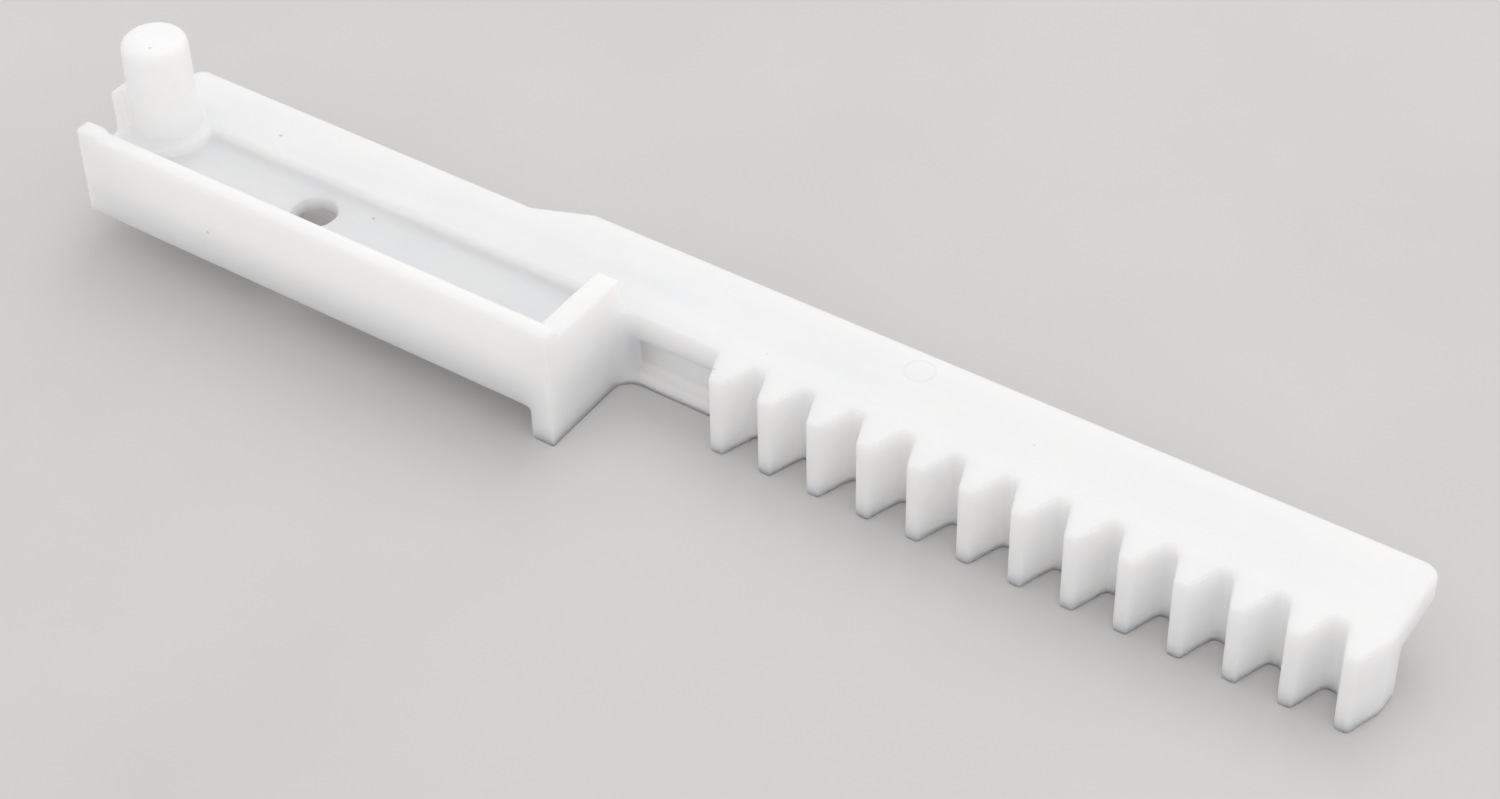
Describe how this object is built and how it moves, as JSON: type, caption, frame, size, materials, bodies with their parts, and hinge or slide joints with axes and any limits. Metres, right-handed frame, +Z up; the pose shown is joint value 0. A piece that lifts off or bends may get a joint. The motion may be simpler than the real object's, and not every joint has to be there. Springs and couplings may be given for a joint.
{
  "type": "gear rack",
  "caption": "One-piece moulded plastic gear rack with straight teeth along one edge, a shallow walled tray and an upright drive pin at the other end.",
  "frame": {"origin": "middle of the bounding box in plan, on the plane that the teeth, the foot and the leg rest on", "axes": "+X along the rack from the pin end to the last tooth, +Y from the tooth tips to the straight back edge, +Z up along the pin"},
  "size_m": [0.0814, 0.0126, 0.0115],
  "materials": {
    "white_acetal": "satin"
  },
  "bodies": {
    "root": {"rack": "white_acetal"}
  },
  "joints": []
}
